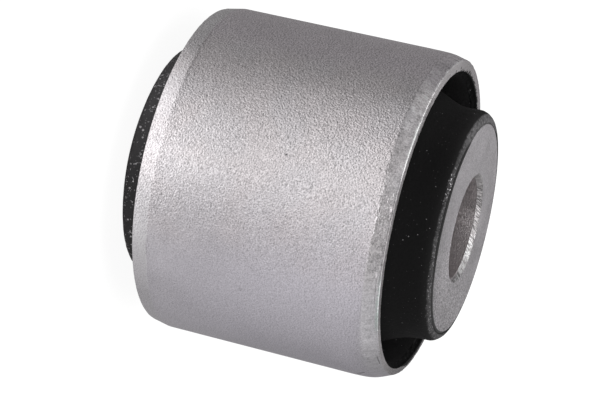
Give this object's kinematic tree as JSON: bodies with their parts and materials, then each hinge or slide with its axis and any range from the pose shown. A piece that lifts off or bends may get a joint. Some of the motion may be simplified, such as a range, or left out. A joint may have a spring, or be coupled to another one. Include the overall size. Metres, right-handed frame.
{
  "type": "rubber metal bush",
  "caption": "Cylindrical bonded bush: a thick bored inner sleeve and a thin outer sleeve with tapered ends, joined by a rubber body with a ring groove at each end.",
  "frame": {"origin": "centre of the lower end face of the inner sleeve, on which the bush stands", "axes": "+Z along the bore axis, towards the end with the longer lead-in taper; X and Y are any two directions across it"},
  "size_m": [0.042, 0.042, 0.0407],
  "materials": {
    "outer_steel": "satin grey, fine blasted grain",
    "inner_steel": "satin grey, fine grain",
    "rubber": "matt black, moulded"
  },
  "bodies": {
    "root": {"outer_sleeve": "outer_steel", "rubber_body": "rubber", "inner_sleeve": "inner_steel"}
  },
  "joints": []
}
